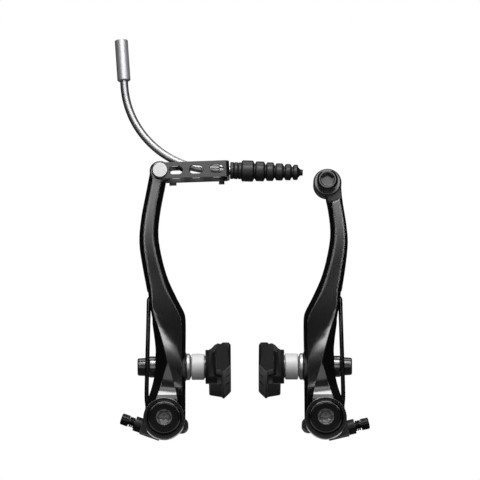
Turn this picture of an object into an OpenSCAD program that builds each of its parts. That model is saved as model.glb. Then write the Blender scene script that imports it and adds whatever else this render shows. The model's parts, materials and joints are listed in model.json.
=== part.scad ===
// Linear-pull rim brake: two arms on frame bosses, with link, bent cable guide,
// rubber boot, return springs and brake shoes. Millimetres.
// X runs across the bike from the left boss to the right one, Z runs up and Y runs
// back into the frame. The origin is the left boss axis at the seat of the boss.

/* [Frame bosses] */
// Distance between the two boss axes
boss_spacing = 74; // [72:0.5:80]
// Radius of the stud that each bushing slides over
stud_r = 4; // [4:0.01:4.01]

/* [Arms] */
// Height of the link pin above the boss axis
pin_z = 116.2; // [115:0.1:117]
// How far outward of the boss axis the link pin sits
pin_out = 1.8; // [1.5:0.1:2.1]
// Height of the cable fixing bolt above the boss axis
clamp_z = 110.8; // [110:0.1:111.5]
// Radius of the front boss of an arm
boss_r = 9.6; // [9.4:0.1:9.8]
// Thickness of an arm at its upper end
eye_t = 8; // [7.6:0.1:8.1]

/* [Brake shoes] */
// Height of the shoe post above the boss axis
post_z = 26; // [25:0.5:28]
// Depth of the shoe post in front of the boss seat
post_depth = 7.5; // [7.4:0.1:7.8]
// Length of a friction pad along the rim
pad_len = 70; // [60:1:74]
// Height of the pad's friction strip
pad_h = 13; // [12:0.5:14]
// Radius of the rim line that the pads follow
rim_r = 300; // [250:10:330]
// Distance of the friction face inward of the boss axis
pad_face = 30.6; // [30:0.1:31.5]

/* [Link] */
// Distance from the link pin to the outer face of the end plate
link_len = 32; // [31.5:0.1:32.2]
// Height of the link's two cheeks
cheek_h = 7.6; // [7.2:0.1:7.8]
// Thickness of the link's sheet
link_t = 1.2; // [1:0.1:1.2]
// Angle by which the link slopes up towards its end
link_tilt = 1.8; // [1.4:0.1:2.2]

/* [Cable guide] */
// Radius of the guide tube
tube_r = 1.85; // [1.7:0.05:1.85]
// Radius of the tube's bend at its centre line
bend_r = 42.7; // [42.5:0.1:43]
// Length of the housing ferrule
ferrule_len = 19.5; // [18:0.5:20]
// Radius of the housing ferrule
ferrule_r = 3.05; // [3:0.05:3.1]
// Bore of the ferrule that takes the cable housing
housing_r = 2.55; // [2.5:0.05:2.6]

/* [Springs] */
// Radius of the return spring's wire
wire_r = 1; // [0.9:0.05:1]
// Angle of the left tension adjuster above level
left_turn = 20; // [17:0.5:22]
// Angle of the right tension adjuster above level
right_turn = 13; // [10:0.5:16]

/* [Hidden] */
$fn = 64;
fine = 360;

// Depths along Y, all in front of the boss seat
arm_front = -18.5;
cup_floor = -15.2;
cup_rim = -12;
hub_rear = -9.2;
holder_front = -7.7;
holder_rear = -0.7;
cap_seat = -18.8;
cap_front = -20.3;
head_front = -21.5;
collar_end = -17.2;
bolt_rear = 2;
eye_mid = -13;
eye_front = eye_mid - eye_t / 2;
eye_rear = eye_mid + eye_t / 2;

// Radii around the boss axis
bushing_bore = stud_r + 0.03;
bushing_r = 4.75;
arm_bore = bushing_r + 0.05;
hub_r = 5.6;
coil_mid = 6.9;
cup_r = 8.2;
cup_rim_r = 8.9;
cap_r = 8.1;
head_r = 6.7;
bolt_r = 3;
collar_r = 3.95;
socket_r = 3.4;
holder_r = 7;

// Arm-local frame: x is measured inward from the boss axis
pin_x = -pin_out;
clamp_x = -1.4;
clamp_r = 6.55;
clamp_seat = -15.5;
pocket_r = 9.4;
eye_r = 4.8;
link_pin_r = 2.4;

// Shoe stack along x, from the nut to the friction face
post_y = -post_depth;
post_r = 3;
nut_end = -12.3;
nut_seat = -7.5;
seat_out = -4;
seat_in = 10.1;
dome_end = 12.5;
spacer_end = 18.5;
flange_x = 18.9;
pad_back = 20.4;
slab_back = 23.6;

// Edges and ridges of an arm seen from the front, as [z, x]
outer_edge = [[0, -9.3], [6, -8.5], [15, -5.7], [24, -4.05], [34, -4], [46, -5.5], [60, -7.7],
    [72, -9.9], [83, -11.4], [94, -10.6], [106, -8.4], [117, -6.3]];
clamp_outer_edge = [[46, -5.5], [60, -7.7], [72, -9.6], [83, -10.7], [91, -10.1], [98, -9.05],
    [103, -8.3], [108, -7.85], [112, -7.7]];
inner_edge = [[0, 9.75], [30, 9.8], [45, 9.95], [49.5, 9.5], [56, 6.3], [66, 1.8], [77, -1.2],
    [87, -2.6], [97, -1.8], [112, 1], [117, 1.7]];
ridge_main = [[0, 6.6], [12, 5.5], [26, 1.9], [40, -1.9], [50.7, -5], [60, -5.9], [72, -8],
    [83, -9.4], [94, -8.6], [106, -6.4], [117, -4.4]];
ridge_side = [[26, 7.7], [33, 5.6], [43, -0.1], [50.7, -4.5]];
ridge_inner = [[0, 8.7], [27, 8.2], [46, 7.9], [53.5, 4.7], [60, 1.5], [70, -1.7], [78, -3.7],
    [86, -4.8], [97, -4], [112, -1.2]];
ridge_foot = [[0, -5], [9, -3.6], [13.5, -2.2], [26, 1.4]];
// Depth of the same lines, as [z, y]
depth_main = [[0, -18.4], [10, -18.3], [13, -17.3], [17, -16.9], [26, -17.9], [40, -18.2],
    [51, -17.6], [70, -17.1], [95, -17], [117, -17]];
depth_side = [[0, -16.4], [26, -15.9], [37, -16.9], [45, -17.5], [51, -17.5], [70, -17.05],
    [117, -16.95]];
depth_inner = [[0, -16.2], [27, -15.8], [44, -16.7], [52, -17], [117, -16.9]];
depth_outer_side = [[0, -17.2], [10, -16.4], [20, -14.6], [40, -14], [60, -14.2], [117, -14.4]];
depth_inner_side = [[0, -14.6], [27, -13.7], [50, -13.9], [117, -14.2]];
depth_back = [[0, -12.2], [9, -10.5], [16, -4.6], [26, -1.6], [36, -2.6], [47, -6.6], [58, -9.1],
    [80, -9.1], [117, -9]];
back_bevel = 1.7;
ridge_gap = 0.45;
side_top = 50.7;
foot_top = 26;
stations = [0, 3, 6, 9, 11, 13, 15, 17, 19, 21.5, 24, 26, 28.5, 31, 34, 37, 40, 43, 45, 47, 49,
    50.7, 53, 56, 59, 62, 65, 68, 71, 74, 77, 80, 83, 86, 89, 92, 95, 98, 101, 104, 107, 110, 113];

// Spring leg, as [x, y, z] from the coil to the hook
coil_start_y = -14.05;
coil_pitch = 2.1;
coil_turns = 2.5;
leg = [[-7.05, -14.05, 2.5], [-7.75, -14.05, 7], [-8.05, -14, 12], [-7.75, -13.8, 26],
    [-7.3, -13.55, 44], [-7, -13.4, 57.5]];
hook_end = -3.8;
coil_steps = 18;
wire_sides = 8;

// Tension adjuster, along its own axis outward from the holder
adjuster_y = (holder_front + holder_rear) / 2;
adjuster_drop = 4.36;
adjuster_boss_r = 3.45;
adjuster_boss_end = 12.8;
adjuster_head_start = 15.8;
adjuster_head_end = 19.4;
adjuster_head_r = 2.65;
adjuster_screw_r = 1.5;
lobe_x = 7.9;
lobe_z = -0.9;
lobe_r = 3.1;
stop_pin_r = 1.2;
stop_pin_root_r = 1.5;
stop_pin_len = 5;
pin_hole_end = -3.5;

// Cable guide: bend centre, start and end angles of the bend
guide_y = eye_mid;
bend_x = 24.3;
bend_z = 160.15;
lean = 3.84;
dip = 1.9;
ferrule_gap = 2.5;
tip_start = bend_x - bend_r * sin(dip);
tip_z = bend_z - bend_r * cos(dip);
nose_start = 2.4;
nose_shoulder = 5;
nose_neck_end = 8;
nose_len = 13;
nose_r = 2.65;
nose_neck_r = 2.05;
nose_tip_r = 1.9;
liner_r = 1.25;
cable_r = 0.9;
boot_start = 8.1;

// Value at t of the smooth curve through the points p
function span(p, t, i = 0) = (i >= len(p) - 2 || t <= p[i + 1][0]) ? i : span(p, t, i + 1);
function rate(p, i) =
    let (a = max(i - 1, 0), b = min(i + 1, len(p) - 1))
    (p[b][1] - p[a][1]) / (p[b][0] - p[a][0]);
function curve(p, t) =
    let (i = span(p, t), h = p[i + 1][0] - p[i][0], u = (t - p[i][0]) / h)
    p[i][1] * (1 + 2 * u) * (1 - u) * (1 - u) + rate(p, i) * h * u * (1 - u) * (1 - u)
    + p[i + 1][1] * u * u * (3 - 2 * u) + rate(p, i + 1) * h * u * u * (u - 1);

// Ridge lines that run into each other where a facet ends
function main_x(z) = curve(ridge_main, z);
function inner_x(z) = curve(ridge_inner, z);
function side_x(z) =
    z >= side_top ? main_x(z) + ridge_gap
    : z <= foot_top ? inner_x(z) - ridge_gap
    : min(inner_x(z) - ridge_gap, curve(ridge_side, z));
function foot_x(z) = z >= foot_top ? main_x(z) - ridge_gap : curve(ridge_foot, z);

// One cross-section of an arm, from the outer side round the front to the back
function section(z, outline) =
    let (xo = curve(z < 46 ? outer_edge : outline, z), xi = curve(inner_edge, z), yb = curve(depth_back, z),
        ym = curve(depth_main, z))
    [[xo, curve(depth_outer_side, z), z],
     [foot_x(z), ym + 0.2, z],
     [main_x(z), ym, z],
     [side_x(z), curve(depth_side, z), z],
     [inner_x(z), curve(depth_inner, z), z],
     [xi, curve(depth_inner_side, z), z],
     [xi, yb - back_bevel, z],
     [xi - back_bevel, yb, z],
     [xo + back_bevel, yb, z],
     [xo, yb - back_bevel, z]];

// Skin of a stack of n rings of m points each, closed at both ends
function skin(n, m) = concat(
    [[for (i = [0:m - 1]) i]],
    [[for (i = [m - 1:-1:0]) (n - 1) * m + i]],
    [for (j = [0:n - 2], i = [0:m - 1], k = [0:1])
        let (a = j * m + i, b = j * m + (i + 1) % m)
        k == 0 ? [a, a + m, b] : [a + m, b + m, b]]);

// Ring of m points of radius r round p, square to the direction d
function unit(v) = v / norm(v);
function ring(p, d, r, m, side) =
    let (u = unit(cross(side, d)), v = unit(cross(d, u)))
    [for (i = [0:m - 1]) p + r * (u * cos(360 * i / m) + v * sin(360 * i / m))];
function heading(path, i) =
    path[min(i + 1, len(path) - 1)] - path[max(i - 1, 0)];

// Round wire of radius r along a path that stays nearly square to side
module wire(path, r, m, side) {
    points = [for (i = [0:len(path) - 1]) each ring(path[i], heading(path, i), r, m, side)];
    polyhedron(points, skin(len(path), m));
}

module rod_y(x, z, y0, y1, r) {
    translate([x, y0, z]) rotate([-90, 0, 0]) cylinder(h = y1 - y0, r = r);
}

module cone_y(x, z, y0, y1, r0, r1) {
    translate([x, y0, z]) rotate([-90, 0, 0]) cylinder(h = y1 - y0, r1 = r0, r2 = r1);
}

module rod_x(x0, x1, y, z, r) {
    translate([x0, y, z]) rotate([0, 90, 0]) cylinder(h = x1 - x0, r = r);
}

module cone_x(x0, x1, y, z, r0, r1) {
    translate([x0, y, z]) rotate([0, 90, 0]) cylinder(h = x1 - x0, r1 = r0, r2 = r1);
}

// Turns children that are drawn for the left side into the right-hand part
module right_side() {
    translate([boss_spacing, 0, 0]) mirror([1, 0, 0]) children();
}

// Hexagon socket that opens towards -Y
module hex_socket(x, z, y0, depth, r, turn = 0) {
    translate([x, y0 - 0.1, z]) rotate([-90, turn, 0]) cylinder(h = depth + 0.1, r = r, $fn = 6);
    cone_y(x, z, y0 - 0.1, y0 + 0.4, r + 0.35, r - 0.15);
}

// Sculpted shank of an arm, a loft through its cross-sections
module arm_shank(top, outline) {
    levels = [for (z = stations) if (z < top - 1) z];
    rings = [for (z = concat(levels, [top])) section(z, outline)];
    polyhedron([for (s = rings) each s], skin(len(rings), len(rings[0])));
}

// Everything of an arm that is the same on both sides
module arm_body(top, outline) {
    arm_shank(top, outline);
    rod_y(0, 0, arm_front, cup_floor, boss_r);
    cone_y(0, 0, cup_floor, cup_rim, boss_r, cup_rim_r);
    rod_x(seat_out, seat_in, post_y, post_z, 6.6);
}

module arm_cuts() {
    // Cup round the spring's coil
    rod_y(0, 0, cup_floor, hub_rear + 6, cup_r);
    // Way out for the spring's leg, and the notch that its hook sits in
    translate([-14, cup_floor, 0]) cube([14 - 6, 12, 14]);
    translate([-12, -14.8, 44]) cube([12 - 5.4, 8, 16.5]);
    rod_x(-6, hook_end + 0.3, -13.4, 57.5, wire_r + 0.15);
    // Slot that the shoe post can slide in
    slot_half = 3;
    for (s = [-1, 1]) rod_x(seat_out - 8, seat_in + 8, post_y, post_z + s * slot_half, post_r + 0.2);
    translate([seat_out - 8, post_y - post_r - 0.2, post_z - slot_half])
        cube([seat_in - seat_out + 16, 2 * post_r + 0.4, 2 * slot_half]);
    // Flat seats for the washers
    rod_x(seat_out - 6, seat_out, post_y, post_z, 6.4);
    rod_x(seat_in, seat_in + 3, post_y, post_z, 6.6);
}

// Adds the hub inside the cup, and bores the whole for the bushing
module bored_hub() {
    difference() {
        union() {
            children();
            rod_y(0, 0, cup_floor - 1, hub_rear, hub_r);
        }
        rod_y(0, 0, arm_front - 1, hub_rear + 1, arm_bore);
    }
}

module left_arm() {
    color("#17181a")
    bored_hub()
    difference() {
        union() {
            arm_body(116.2, outer_edge);
            rod_y(pin_x, pin_z, eye_front, eye_rear, eye_r);
        }
        arm_cuts();
        rod_y(pin_x, pin_z, eye_front - 1, eye_rear + 1, link_pin_r);
    }
}

module right_arm() {
    color("#17181a")
    right_side()
    bored_hub()
    difference() {
        union() {
            arm_body(clamp_z - 0.5, clamp_outer_edge);
            rod_y(clamp_x, clamp_z, clamp_seat, eye_rear, clamp_r);
        }
        arm_cuts();
        // Pocket in the front face for the washer and the bolt's head
        rod_y(clamp_x, clamp_z, eye_front - 3, clamp_seat, pocket_r);
        rod_y(clamp_x, clamp_z, eye_front - 1, eye_rear + 1, bolt_r);
    }
}

module pivot_bushing() {
    color("silver")
    difference() {
        rod_y(0, 0, cap_seat, 0, bushing_r);
        rod_y(0, 0, cap_seat - 1, 1, bushing_bore);
    }
}

module pivot_cap() {
    color("#141414")
    difference() {
        union() {
            rod_y(0, 0, cap_front + 0.6, cap_seat, cap_r);
            cone_y(0, 0, cap_front, cap_front + 0.6, head_r + 0.1, cap_r);
        }
        rod_y(0, 0, cap_front - 1, cap_seat + 1, collar_r + 0.05);
    }
}

module pivot_bolt() {
    color("#1c1c1c")
    difference() {
        union() {
            rod_y(0, 0, head_front + 0.3, cap_front, head_r);
            cone_y(0, 0, head_front, head_front + 0.3, head_r - 0.3, head_r);
            rod_y(0, 0, cap_front, collar_end, collar_r);
            rod_y(0, 0, collar_end, bolt_rear - 0.6, bolt_r);
            cone_y(0, 0, bolt_rear - 0.6, bolt_rear, bolt_r, bolt_r - 0.6);
        }
        hex_socket(0, 0, head_front, 3, socket_r);
        cone_y(0, 0, head_front + 3, head_front + 3.6, 2.6, 0.6);
    }
}

// Plastic base behind an arm: drum, lobe for the stop pin, boss for the adjuster
module spring_holder(turn) {
    color("#202020")
    difference() {
        union() {
            rod_y(0, 0, holder_front, holder_rear, holder_r);
            rod_y(lobe_x, lobe_z, holder_front, holder_rear, lobe_r);
            translate([0, holder_front, lobe_z - lobe_r])
                cube([lobe_x, holder_rear - holder_front, 2 * lobe_r]);
            adjuster_frame(turn) {
                cylinder(h = adjuster_boss_end, r = adjuster_boss_r);
                translate([-adjuster_boss_r, -adjuster_boss_r, 0])
                    cube([adjuster_boss_r * 2, adjuster_boss_r * 2, 9.5]);
            }
        }
        rod_y(0, 0, holder_front - 1, holder_rear + 1, bushing_r);
        adjuster_frame(turn) translate([0, 0, 5.5]) cylinder(h = 12, r = adjuster_screw_r + 0.05);
        rod_y(coil_mid, 0, holder_front - 1, -4.7, wire_r + 0.1);
        rod_y(lobe_x, lobe_z, pin_hole_end, holder_rear + 1, stop_pin_root_r);
    }
}

// Frame whose +Z runs outward along the adjuster
module adjuster_frame(turn) {
    translate([0, adjuster_y, 0]) rotate([0, turn, 0]) translate([0, 0, -adjuster_drop])
        rotate([0, -90, 0]) children();
}

module stop_pin() {
    color("silver") {
        rod_y(lobe_x, lobe_z, pin_hole_end, holder_rear, stop_pin_root_r);
        rod_y(lobe_x, lobe_z, holder_rear, stop_pin_len - 0.4, stop_pin_r);
        cone_y(lobe_x, lobe_z, stop_pin_len - 0.4, stop_pin_len, stop_pin_r, stop_pin_r - 0.4);
    }
}

module adjuster_screw(turn) {
    grip_count = 12;
    color("#2a2a2a")
    adjuster_frame(turn)
    difference() {
        union() {
            translate([0, 0, 7]) cylinder(h = adjuster_head_start - 7, r = adjuster_screw_r);
            translate([0, 0, adjuster_head_start])
                cylinder(h = adjuster_head_end - adjuster_head_start - 0.4, r = adjuster_head_r);
            translate([0, 0, adjuster_head_end - 0.4])
                cylinder(h = 0.4, r1 = adjuster_head_r, r2 = adjuster_head_r - 0.4);
        }
        for (i = [0:grip_count - 1]) rotate([0, 0, 360 * i / grip_count])
            translate([adjuster_head_r - 0.25, -0.25, adjuster_head_start + 0.8]) cube([1, 0.5, 4]);
        for (a = [0, 90]) rotate([0, 0, a]) translate([-1.7, -0.35, adjuster_head_end - 1.2])
            cube([3.4, 0.7, 2]);
    }
}

module adjuster_spring(turn) {
    turns = 2.5;
    steps = 14;
    r = 0.35;
    length = adjuster_head_start - adjuster_boss_end - 2 * r - 0.15;
    path = [for (i = [0:turns * steps]) let (a = 360 * i / steps)
        [2.1 * cos(a), 2.1 * sin(a), adjuster_boss_end + r + 0.02 + length * i / (turns * steps)]];
    color("#303030") adjuster_frame(turn) wire(path, r, 6, [0, 0, 1]);
}

// Torsion spring: coil in the arm's cup, long leg up the arm's outer side
module return_spring() {
    coil = [for (i = [coil_turns * coil_steps:-1:0]) let (a = 180 + 360 * i / coil_steps)
        [coil_mid * cos(a), coil_start_y + coil_pitch * i / coil_steps, coil_mid * sin(a)]];
    color("#101010") {
        wire(concat(coil, leg), wire_r, wire_sides, [0, 1, 0]);
        rod_x(leg[5][0] - 0.6, hook_end, leg[5][1], leg[5][2], wire_r * 0.97);
        rod_y(coil_mid, 0, coil_start_y + coil_pitch * coil_turns, -5, wire_r * 0.97);
    }
}

// Friction pad: strip that follows the rim, thick behind the post, thin in front
module brake_pad() {
    half = pad_len / 2 / rim_r * 180 / PI;
    h = pad_h / 2;
    profile = [[-h, 26.8], [-h + 0.6, 26.2], [-h + 1.5, pad_back + 0.6], [-h + 2.1, pad_back],
        [h - 2.1, pad_back], [h - 1.5, pad_back + 0.6], [h - 0.6, 26.2], [h, 26.8],
        [h, pad_face - 0.9], [h - 0.9, pad_face], [-h + 3.2, pad_face], [-h, pad_face - 3.2]];
    groove_w = 1.3;
    color("#232323")
    difference() {
        union() {
            difference() {
                translate([0, post_y, post_z - rim_r]) rotate(a = 180, v = [1, 0, 1])
                    rotate([0, 0, -half]) rotate_extrude(angle = 2 * half, $fn = fine)
                    polygon([for (p = profile) [rim_r + p[0], p[1]]]);
                // Thin front half, with a slope up to the flange
                translate([0, 0, post_z - 12]) linear_extrude(24)
                    polygon([[10, -60], [slab_back + 0.8, -60], [slab_back, post_y - 12],
                        [pad_back, post_y - 2], [10, post_y - 2]]);
                // Lead-in chamfers at both ends
                for (s = [-1, 1]) translate([pad_face, post_y + s * (pad_len / 2), post_z])
                    rotate([0, 0, 45]) cube([1.6, 1.6, 30], center = true);
            }
            rod_x(flange_x, slab_back + 0.6, post_y, post_z, 7.8);
        }
        rod_x(flange_x - 1, 23, post_y, post_z, post_r);
        rod_x(22, 24, post_y, post_z, 5);
        for (i = [-1, 0, 1]) translate([pad_face - 2.2, post_y + i * 17, post_z - 0.6])
            rotate([-28, 0, 0]) translate([0, -groove_w / 2, -12]) cube([6, groove_w, 24]);
    }
}

module shoe_post() {
    color("silver")
    difference() {
        union() {
            rod_x(nut_end + 1, 22, post_y, post_z, post_r);
            rod_x(spacer_end, flange_x, post_y, post_z, 5.2);
            rod_x(22, 24, post_y, post_z, 5);
        }
        translate([nut_end, post_y, post_z]) rotate([0, 90, 0]) cylinder(h = 3, r = 1.7, $fn = 6);
    }
}

module shoe_spacer() {
    color("#c9cacb")
    difference() {
        union() {
            cone_x(dome_end, dome_end + 0.4, post_y, post_z, 5.6, 6);
            rod_x(dome_end + 0.4, spacer_end - 0.4, post_y, post_z, 6);
            cone_x(spacer_end - 0.4, spacer_end, post_y, post_z, 6, 5.6);
        }
        rod_x(dome_end - 1, spacer_end + 1, post_y, post_z, post_r + 0.05);
        cone_x(dome_end - 0.1, dome_end + 1.6, post_y, post_z, 5.1, post_r + 0.05);
    }
}

// Washer with a domed face that lets the shoe tilt on its post
module dome_washer() {
    color("#a9abad")
    difference() {
        union() {
            cone_x(seat_in, seat_in + 0.3, post_y, post_z, 5.85, 6.15);
            rod_x(seat_in + 0.3, dome_end - 1, post_y, post_z, 6.15);
            cone_x(dome_end - 1, dome_end - 0.4, post_y, post_z, 6.15, 5.3);
            cone_x(dome_end - 0.4, dome_end, post_y, post_z, 5.3, 4);
        }
        rod_x(seat_in - 1, dome_end + 1, post_y, post_z, post_r + 0.05);
    }
}

module nut_washer() {
    color("#1b1b1b")
    difference() {
        union() {
            rod_x(nut_seat + 1, seat_out, post_y, post_z, 4.9);
            cone_x(nut_seat, nut_seat + 1, post_y, post_z, 4.3, 4.9);
        }
        rod_x(nut_seat - 1, seat_out + 1, post_y, post_z, post_r + 0.05);
    }
}

module shoe_nut() {
    color("#1b1b1b")
    difference() {
        union() {
            rod_x(nut_seat - 0.6, nut_seat, post_y, post_z, 4.2);
            cone_x(nut_end + 0.5, nut_seat - 0.6, post_y, post_z, 4, 4.2);
            cone_x(nut_end, nut_end + 0.5, post_y, post_z, 3.5, 4);
        }
        rod_x(nut_end + 1, nut_seat + 1, post_y, post_z, post_r);
        translate([nut_end - 1, post_y, post_z]) rotate([0, 90, 0]) cylinder(h = 2.5, r = 2.89, $fn = 6);
    }
}

// Frame of the link: +X along it from the pin
module link_frame() {
    translate([pin_x, 0, pin_z]) rotate([0, -link_tilt, 0]) children();
}

module rounded_end(x0, x1, y0, y1, r) {
    translate([x0, y0]) square([x1 - r - x0, y1 - y0]);
    translate([x1 - r - 0.01, y0 + r]) square([r + 0.01, y1 - y0 - 2 * r]);
    for (y = [y0 + r, y1 - r]) translate([x1 - r, y]) circle(r);
}

// Folded sheet: two cheeks joined by an end plate with the keyhole
module link() {
    inner_w = eye_t + 0.4;
    y0 = eye_mid - inner_w / 2 - link_t;
    y1 = eye_mid + inner_w / 2 + link_t;
    slot_pitch = 9.4;
    slot_first = 7.3;
    color("#3c3d40")
    link_frame()
    difference() {
        union() {
            difference() {
                translate([0, 0, -cheek_h / 2]) linear_extrude(cheek_h) difference() {
                    rounded_end(-cheek_h / 2, link_len, y0, y1, 2.2);
                    rounded_end(-cheek_h, link_len - link_t, y0 + link_t, y1 - link_t, 1);
                }
                // Rounds the cheeks about the pin
                difference() {
                    translate([-cheek_h, y0 - 1, -cheek_h])
                        cube([cheek_h, y1 - y0 + 2, 2 * cheek_h]);
                    rod_y(0, 0, y0 - 1, y1 + 1, cheek_h / 2);
                }
            }
            // Lugs under the rear cheek
            translate([4.1, y1 - link_t, -cheek_h / 2 - 1.3]) cube([3.3, link_t, 2.6]);
            translate([link_len - 5, y1 - link_t, -cheek_h / 2 - 1.5])
                cube([2.6, link_t, 2.6]);
        }
        rod_y(0, 0, y0 - 1, y1 + 1, link_pin_r + 0.05);
        for (i = [0:2]) translate([slot_first + i * slot_pitch, y0 - 1, 0]) {
            for (s = [-1, 1]) translate([s * 1.25, 0, 0]) rotate([-90, 0, 0])
                cylinder(h = y1 - y0 + 2, r = 2);
            translate([-1.25, 0, -2]) cube([2.5, y1 - y0 + 2, 4]);
        }
        translate([link_len - 3, eye_mid, 0.1]) rotate([0, 90, 0])
            cylinder(h = 5, r = nose_neck_r + 0.1);
        translate([link_len - 3, eye_mid - 1.1, 0]) cube([5, 2.2, cheek_h]);
    }
}

module link_pin() {
    inner_w = eye_t + 0.4;
    front = eye_mid - inner_w / 2 - link_t - 0.1;
    rear = eye_mid + inner_w / 2 + link_t + 0.1;
    color("#d9d9d9") {
        rod_y(pin_x, pin_z, front, rear, link_pin_r);
        rod_y(pin_x, pin_z, front - 0.8, front, 3.52);
        cone_y(pin_x, pin_z, front - 1.1, front - 0.8, 3.3, 3.52);
        cone_y(pin_x, pin_z, rear, rear + 0.8, 3.3, 3);
    }
}

// Frame at the end of the bend, +Z along the straight tip
module tip_frame() {
    translate([tip_start, guide_y, tip_z]) rotate([0, 90 + dip, 0]) children();
}

// Frame at the start of the bend, +Z up along the ferrule
module ferrule_frame() {
    translate([bend_x - bend_r * cos(lean), guide_y, bend_z - bend_r * sin(lean)])
        rotate([0, -lean, 0]) children();
}

// Points along the guide, from a length up the straight tip into the ferrule
function bend_point(a) = [bend_x + bend_r * cos(a), guide_y, bend_z + bend_r * sin(a)];
function guide_path(tip_len) =
    let (low = 270 - dip, high = 180 + lean, steps = 18)
    concat([bend_point(low) + tip_len * [cos(dip), 0, -sin(dip)]],
        [for (i = [0:steps]) bend_point(low + (high - low) * i / steps)],
        [bend_point(high) + (ferrule_gap + 6.9) * [-sin(lean), 0, cos(lean)]]);

// Hollow tube of m sides along a path
module sleeve(path, r_out, r_in, m) {
    n = len(path);
    outer = [for (i = [0:n - 1]) each ring(path[i], heading(path, i), r_out, m, [0, 1, 0])];
    inner = [for (i = [0:n - 1]) each ring(path[i], heading(path, i), r_in, m, [0, 1, 0])];
    walls = [for (j = [0:n - 2], i = [0:m - 1], k = [0:3])
        let (a = j * m + i, b = j * m + (i + 1) % m, c = a + n * m, d = b + n * m)
        k == 0 ? [a, a + m, b] : k == 1 ? [a + m, b + m, b]
        : k == 2 ? [c, d, c + m] : [c + m, d, d + m]];
    ends = [for (j = [0, n - 1], i = [0:m - 1], k = [0:1])
        let (a = j * m + i, b = j * m + (i + 1) % m, c = a + n * m, d = b + n * m)
        j == 0 ? (k == 0 ? [a, b, c] : [b, d, c]) : (k == 0 ? [a, c, b] : [b, c, d])];
    polyhedron(concat(outer, inner), concat(walls, ends));
}

module guide_tube() {
    color("#b4b6b8") sleeve(guide_path(nose_shoulder), tube_r, liner_r + 0.05, 16);
}

module guide_liner() {
    color("#e8e8e0") sleeve(guide_path(nose_shoulder), liner_r - 0.05, cable_r, 12);
}

module guide_ferrule() {
    z0 = ferrule_gap;
    z1 = ferrule_gap + ferrule_len;
    color("#8f9092")
    ferrule_frame()
    difference() {
        union() {
            translate([0, 0, z0]) cylinder(h = 0.5, r1 = ferrule_r - 0.5, r2 = ferrule_r);
            translate([0, 0, z0 + 0.5]) cylinder(h = ferrule_len - 0.9, r = ferrule_r);
            translate([0, 0, z1 - 0.4]) cylinder(h = 0.4, r1 = ferrule_r, r2 = ferrule_r - 0.2);
        }
        translate([0, 0, z0 - 1]) cylinder(h = 8, r = tube_r);
        translate([0, 0, z0 + 6.9]) cylinder(h = 4, r = cable_r);
        translate([0, 0, z1 - 10]) cylinder(h = 11, r = housing_r);
    }
}

module guide_nose() {
    color("#c4c4c4")
    tip_frame()
    difference() {
        union() {
            translate([0, 0, nose_start]) cylinder(h = 0.4, r1 = nose_r - 0.4, r2 = nose_r);
            translate([0, 0, nose_start + 0.4]) cylinder(h = 2.4, r = nose_r);
            translate([0, 0, nose_start + 2.8]) cylinder(h = 0.5, r1 = nose_r, r2 = nose_neck_r);
            translate([0, 0, nose_start + 3.3])
                cylinder(h = nose_neck_end - nose_start - 3.3, r = nose_neck_r);
            translate([0, 0, nose_neck_end]) cylinder(h = nose_len - nose_neck_end, r = nose_tip_r);
        }
        translate([0, 0, nose_start - 1]) cylinder(h = nose_shoulder - nose_start + 1, r = tube_r);
        cylinder(h = nose_len + 1, r = cable_r);
    }
}

// Rubber bellows over the cable: a neck, then six ribs that step down in size
module cable_boot() {
    neck_r = 3.94;
    neck_len = 5.1;
    rib_r = [4.92, 4.62, 4.35, 4.0, 3.8, 3.58];
    rib_len = [5.8, 4.4, 3.7, 3.7, 3.1, 2.6];
    groove = 0.6;
    chamfer = 0.7;
    wall = 1.1;
    function start(i) = i == 0 ? neck_len : start(i - 1) + rib_len[i - 1] + groove;
    ribs = [for (i = [0:len(rib_r) - 1]) each
        [[rib_r[i] - wall, start(i)], [rib_r[i], start(i) + chamfer],
         [rib_r[i], start(i) + rib_len[i] - chamfer / 2],
         [rib_r[i] - wall, start(i) + rib_len[i]]]];
    last = start(5) + rib_len[5];
    color("#1d1d1d")
    tip_frame() translate([0, 0, boot_start])
    rotate_extrude($fn = 48) difference() {
        polygon(concat([[0, 0], [neck_r - 0.3, 0], [neck_r, 0.4], [neck_r, 1.5], [neck_r - 0.4, 1.8],
            [neck_r, 2.1], [neck_r, 3.4], [neck_r - 0.4, 3.7], [neck_r, 4], [neck_r, neck_len - 0.3]],
            ribs, [[1.7, last + 0.8], [1.43, last + 1.2], [1.43, last + 2.2], [0, last + 2.2]]));
        translate([-1, -1]) square([1 + nose_tip_r, 6]);
        translate([-1, 4]) square([1 + 2.2, last - 6]);
        translate([-1, 4]) square([1 + cable_r, last]);
    }
}

module cable_washer() {
    color("#9a9c9e")
    right_side()
    difference() {
        union() {
            rod_y(clamp_x, clamp_z, clamp_seat - 1.2, clamp_seat, 6.1);
            cone_y(clamp_x, clamp_z, clamp_seat - 1.5, clamp_seat - 1.2, 5.8, 6.1);
        }
        rod_y(clamp_x, clamp_z, clamp_seat - 3, clamp_seat + 1, bolt_r);
        // Groove that the cable lies in
        translate([clamp_x - 9, clamp_seat - 0.6, clamp_z - bolt_r - 1.2]) cube([18, 1, 1.5]);
    }
}

module cable_bolt() {
    seat = clamp_seat - 1.5;
    front = seat - 5.6;
    color("#1a1a1a")
    right_side()
    difference() {
        union() {
            rod_y(clamp_x, clamp_z, front + 0.9, seat, 4.85);
            cone_y(clamp_x, clamp_z, front, front + 0.9, 3.9, 4.85);
            rod_y(clamp_x, clamp_z, seat, eye_rear + 0.8, bolt_r);
        }
        hex_socket(clamp_x, clamp_z, front, 3.6, 3.15, 30);
    }
}

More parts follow.
